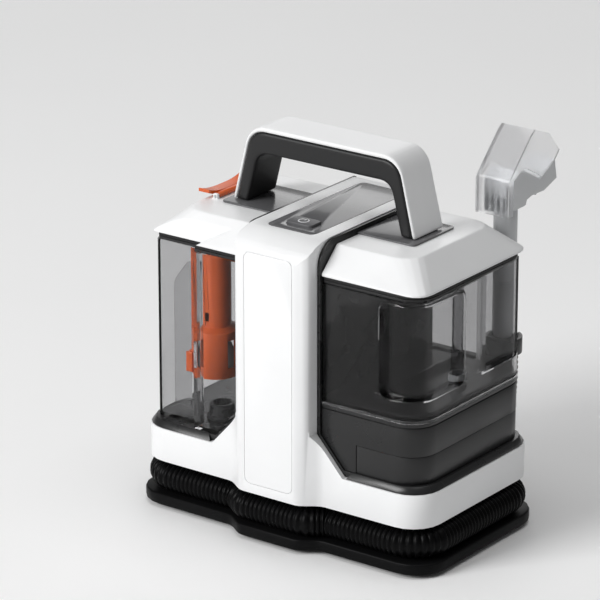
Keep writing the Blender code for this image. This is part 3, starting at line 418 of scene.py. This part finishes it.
# ---- Clean-water tank ----
# Smoked clear plastic over a black base with a separate cover, shut by a lid with a soft seal.
# An orange screw cap closes the filler hole, and a sprung orange valve opens towards the column.
def smoked(name, tint, roughness=0.03, ior=1.32, polish=0.0):
    """Clear smoked plastic: it bends what is behind it a little, and lets the lamps' light in."""
    made = bpy.data.materials.new(name)
    made.use_nodes = True
    tree = made.node_tree
    shader = tree.nodes["Principled BSDF"]
    place = tree.nodes.new("ShaderNodeTexCoord")
    flow = tree.nodes.new("ShaderNodeTexNoise")
    flow.inputs["Scale"].default_value = 18.0
    tree.links.new(place.outputs["Object"], flow.inputs["Vector"])
    shade = tree.nodes.new("ShaderNodeValToRGB")
    shade.color_ramp.elements[0].color = (*[value * 0.97 for value in tint], 1.0)
    shade.color_ramp.elements[1].color = (*tint, 1.0)
    tree.links.new(flow.outputs["Fac"], shade.inputs["Fac"])
    tree.links.new(shade.outputs["Color"], shader.inputs["Base Color"])
    relief = tree.nodes.new("ShaderNodeBump")
    relief.inputs["Strength"].default_value = 0.03
    relief.inputs["Distance"].default_value = 0.0004
    tree.links.new(flow.outputs["Fac"], relief.inputs["Height"])
    tree.links.new(relief.outputs["Normal"], shader.inputs["Normal"])
    shader.inputs["Roughness"].default_value = roughness
    shader.inputs["IOR"].default_value = ior
    shader.inputs["Transmission Weight"].default_value = 1.0
    shader.inputs["Coat Weight"].default_value = polish
    shader.inputs["Coat Roughness"].default_value = 0.04
    pass_light = tree.nodes.new("ShaderNodeBsdfTransparent")
    pass_light.inputs["Color"].default_value = (*tint, 1.0)
    ray = tree.nodes.new("ShaderNodeLightPath")
    mix = tree.nodes.new("ShaderNodeMixShader")
    tree.links.new(ray.outputs["Is Shadow Ray"], mix.inputs[0])
    tree.links.new(shader.outputs["BSDF"], mix.inputs[1])
    tree.links.new(pass_light.outputs["BSDF"], mix.inputs[2])
    tree.links.new(mix.outputs["Shader"], tree.nodes["Material Output"].inputs["Surface"])
    return made


smoke = smoked("smoked_clear_plastic", (0.61, 0.61, 0.615), ior=1.12, polish=0.34)
softened("clean_tank", smoke, 0)
softened("clean_tank_base", satin_black, 0.7)
softened("clean_base_cover", satin_black, 0.6)
softened("outlet_valve", orange_plastic, 0.4)
softened("clean_tank_lid", satin_black, 0.4)
softened("filler_cap", orange_plastic, 0.6)
softened("clean_tank_seal", cuff_rubber, 0.4)


# ---- Sump insert of the clean-water tank ----
# A black moulded floor that drains to the outlet.
# It has a sunk channel, a ridge and the strainer box before the valve.
def settled(piece, name, material, body):
    """Names a modelled piece, puts its place into its mesh, and gives it its finish, slot and body."""
    piece.name = name
    piece.data.name = name
    bpy.context.view_layer.update()
    piece.data.transform(piece.matrix_world)
    piece.matrix_world = Matrix.Identity(4)
    piece.data.materials.clear()
    piece.data.materials.append(material)
    bpy.ops.object.select_all(action="DESELECT")
    piece.select_set(True)
    bpy.context.view_layer.objects.active = piece
    bpy.ops.object.shade_smooth_by_angle(angle=math.radians(35))
    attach(piece, body)


def block(low, high):
    """A cube primitive between two corners in millimetres, with its place and size in its mesh."""
    low, high = spot(*low), spot(*high)
    bpy.ops.object.select_all(action="DESELECT")
    bpy.ops.mesh.primitive_cube_add(size=1, location=(low + high) / 2, scale=high - low)
    made = bpy.context.object
    bpy.ops.object.transform_apply(location=True, rotation=True, scale=True)
    return made


def bevelled(piece, width, segments, keep):
    """Bevels the edges that keep(a, b) picks by their two end points, in millimetres of the plate's frame."""
    zero = spot(0, 0, 0)
    bpy.context.view_layer.objects.active = piece
    bpy.ops.object.mode_set(mode="EDIT")
    bpy.ops.mesh.select_mode(type="EDGE")
    bpy.ops.mesh.select_all(action="DESELECT")
    bpy.ops.object.mode_set(mode="OBJECT")
    for edge in piece.data.edges:
        a, b = [(piece.data.vertices[index].co - zero) * 1000 for index in edge.vertices]
        edge.select = keep(a, b)
    bpy.ops.object.mode_set(mode="EDIT")
    bpy.ops.mesh.bevel(offset=width / 1000, segments=segments, affect="EDGES")
    bpy.ops.object.mode_set(mode="OBJECT")


def picked(piece, wanted):
    """Selects only the faces for which wanted(normal) holds, and leaves the piece in edit mode."""
    bpy.context.view_layer.objects.active = piece
    bpy.ops.object.mode_set(mode="EDIT")
    bpy.ops.mesh.select_mode(type="FACE")
    bpy.ops.mesh.select_all(action="DESELECT")
    bpy.ops.object.mode_set(mode="OBJECT")
    for face in piece.data.polygons:
        face.select = wanted(face.normal)
    bpy.ops.object.mode_set(mode="EDIT")


sump = block((47.0, -80.5, 140.0), (143.6, 80.5, 143.0))
bevelled(sump, 21, 6, lambda a, b: abs(a.z - b.z) > 1 and a.x > 100)
picked(sump, lambda normal: normal.z > 0.9)
bpy.ops.mesh.inset(thickness=0.007, depth=0)
bpy.ops.mesh.inset(thickness=0.0015, depth=-0.0016)
bpy.ops.object.mode_set(mode="OBJECT")
sump_black = moulded("sump_black_plastic", (0.003, 0.003, 0.0032), 0.2, grain=0.02, shine=0.2)
settled(sump, "sump_insert", sump_black, "clean_tank_unit")
strainer = block((47.4, -17.0, 143.4), (72.0, 17.0, 153.0))
bevelled(strainer, 6, 4, lambda a, b: abs(a.z - b.z) > 1 and a.x > 60)
bevelled(strainer, 2.0, 3, lambda a, b: min(a.z, b.z) > 152.9)
settled(strainer, "strainer_box", sump_black, "clean_tank_unit")
ridge = block((82.0, -60.0, 141.9), (90.0, 62.0, 147.5))
bevelled(ridge, 2.4, 4, lambda a, b: min(a.z, b.z) > 147.4)
settled(ridge, "sump_ridge", sump_black, "clean_tank_unit")


# ---- Foot bead and pick-up tube of the clean-water tank ----
# A bright clear bead runs round the foot of the smoked wall, open towards the column. A clear tube, held by a small
# grey clip, stands in the sump and feeds the pump.
def given_wall(piece, thickness):
    """Thickens an open sheet inwards, in millimetres."""
    wall = piece.modifiers.new("wall", "SOLIDIFY")
    wall.thickness = thickness / 1000
    wall.offset = -1.0
    bpy.ops.object.modifier_apply(modifier="wall")


def thin_walled(piece, unwanted, thickness):
    """Takes away the unwanted faces and gives what is left a wall, inwards, in millimetres."""
    picked(piece, unwanted)
    bpy.ops.mesh.delete(type="FACE")
    bpy.ops.object.mode_set(mode="OBJECT")
    given_wall(piece, thickness)


bead = block((43.9, -84.9, 135.6), (148.0, 84.9, 138.4))
bevelled(bead, 26.7, 8, lambda a, b: abs(a.z - b.z) > 1 and a.x > 100)
thin_walled(bead, lambda normal: abs(normal.z) > 0.9 or normal.x < -0.9, 0.72)
bevelled(bead, 0.3, 2, lambda a, b: abs(a.z - b.z) < 0.01 and (a.z > 138.3 or a.z < 135.7) and (a - b).length > 1)
bead_clear = smoked("bead_clear_plastic", (0.80, 0.80, 0.805), roughness=0.1, ior=1.4)
settled(bead, "tank_foot_bead", bead_clear, "clean_tank_unit")
bpy.ops.object.select_all(action="DESELECT")
bpy.ops.mesh.primitive_cylinder_add(vertices=32, radius=0.0052, depth=0.0970, location=spot(118, 15, 192.5),
                                    end_fill_type="NOTHING")
pickup = bpy.context.object
given_wall(pickup, 1.0)
settled(pickup, "pickup_tube", smoke, "clean_tank_unit")
clip = block((111.2, 7.2, 143.4), (124.8, 22.8, 149.6))
bevelled(clip, 4.0, 5, lambda a, b: abs(a.z - b.z) > 1)
thin_walled(clip, lambda normal: abs(normal.z) > 0.9, 1.1)
clip_grey = moulded("clip_grey_plastic", (0.42, 0.43, 0.44), 0.4, grain=0.04)
settled(clip, "pickup_clip", clip_grey, "clean_tank_unit")


# ---- Waste tank ----
# A paler smoked plastic. Inside stands an orange suction stack whose cage holds the float that shuts the air off,
# beside a clear splash baffle with a sloped top, a guide rail and two clip tabs on the cage.
pale_smoke = smoked("pale_smoked_plastic", (0.73, 0.73, 0.735), ior=1.12, polish=0.2)
softened("recovery_tank", pale_smoke, 0)
softened("recovery_lid", satin_black, 0.4)
softened("recovery_seal", cuff_rubber, 0.4)
softened("recovery_stack", orange_plastic, 0.5)
softened("float_ball", moulded("float_grey_plastic", (0.45, 0.46, 0.47), 0.5), 0.6)
softened("suction_inlet", satin_black, 0.4)
baffle = block((-138.0, -56.0, 84.4), (-119.6, -54.2, 226.0))
bpy.ops.object.mode_set(mode="EDIT")
bpy.ops.mesh.select_mode(type="VERT")
bpy.ops.mesh.select_all(action="DESELECT")
bpy.ops.object.mode_set(mode="OBJECT")
for corner in baffle.data.vertices:
    corner.select = corner.co.x < spot(-130, 0, 0).x and corner.co.z > spot(0, 0, 200).z
bpy.ops.object.mode_set(mode="EDIT")
bpy.ops.transform.translate(value=(0, 0, -0.024))
bpy.ops.object.mode_set(mode="OBJECT")
bevelled(baffle, 6.0, 6, lambda a, b: abs(a.y - b.y) > 1 and min(a.z, b.z) > 190)
bevelled(baffle, 0.5, 2, lambda a, b: abs(a.y - b.y) < 0.01)
settled(baffle, "splash_baffle", pale_smoke, "recovery_tank_unit")
rail = block((-126.4, -46.8, 118.0), (-122.4, -43.2, 243.6))
bevelled(rail, 1.2, 3, lambda a, b: abs(a.z - b.z) > 1)
bevelled(rail, 0.8, 2, lambda a, b: min(a.z, b.z) > 243 or max(a.z, b.z) < 119)
settled(rail, "float_rail", orange_plastic, "recovery_tank_unit")
for number, ahead in enumerate((-62.4, -57.8), 1):
    tab = block((-119.4, ahead - 1.1, 122.0), (-112.4, ahead + 1.1, 141.0))
    bevelled(tab, 0.7, 3, lambda a, b: True)
    settled(tab, f"cage_tab_{number}", orange_plastic, "recovery_tank_unit")


# ---- Wand, trigger and holster ----
# A light grey moulded tube that stands in a black clip behind the clean tank.
# Its orange trigger turns on a steel pin.
wand_grey = moulded("light_grey_plastic", (0.56, 0.57, 0.58), 0.36, grain=0.04, mottle=0.02)
softened("wand", wand_grey, 0.5)
softened("trigger", orange_plastic, 0.8)
softened("trigger_pin", steel, 0.2)
softened("wand_holster", satin_black, 0.6)


# ---- Nozzle ----
# A grey mouth under a frosted clear hood, so the dirty water can be seen on its way up.
# Four ribs before a louvre guide the air in the hood's throat.
hood_clear = smoked("hood_frosted_plastic", (0.90, 0.90, 0.905), roughness=0.30, ior=1.25, polish=0.25)
softened("nozzle_body", wand_grey, 0.8)
softened("nozzle_hood", hood_clear, 0)
softened("spray_tip", satin_black, 0.3)
for number, across in enumerate((-9.0, -3.0, 3.0, 9.0), 1):
    rib = block((WAND_X + across - 0.7, WAND_Y - 19.4, 276.5), (WAND_X + across + 0.7, WAND_Y - 16.6, 291.0))
    bevelled(rib, 0.5, 3, lambda a, b: abs(a.z - b.z) > 1)
    bevelled(rib, 0.6, 3, lambda a, b: min(a.z, b.z) > 290.9)
    settled(rib, f"hood_rib_{number}", wand_grey, "nozzle_unit")
louvre = block((WAND_X - 11.5, WAND_Y - 16.4, 274.5), (WAND_X + 11.5, WAND_Y - 15.2, 301.5))
bevelled(louvre, 2.0, 4, lambda a, b: abs(a.y - b.y) > 1)
settled(louvre, "throat_louvre", wand_grey, "nozzle_unit")


# ---- Rear fittings ----
# The black exhaust grille snaps into the back of the column.
# Below it is the rubber gland of the mains lead.
softened("exhaust_grille", satin_black, 0.3)
softened("cord_gland", cuff_rubber, 0.4)


# ---- Drive inside the column ----
# Motor, fan, pump, switch board and their ducts, in black plastic, steel and lacquered board.
# They are shut in by the column.
for node in ("motor_deck", "fan_housing", "power_switch", "pump_body", "air_duct"):
    softened(node, satin_black, 0)
for node in ("motor_housing", "motor_rotor", "pump_rotor"):
    softened(node, steel, 0)
softened("circuit_board", moulded("lacquered_board", (0.02, 0.16, 0.07), 0.4), 0)
softened("solution_tube", smoke, 0)
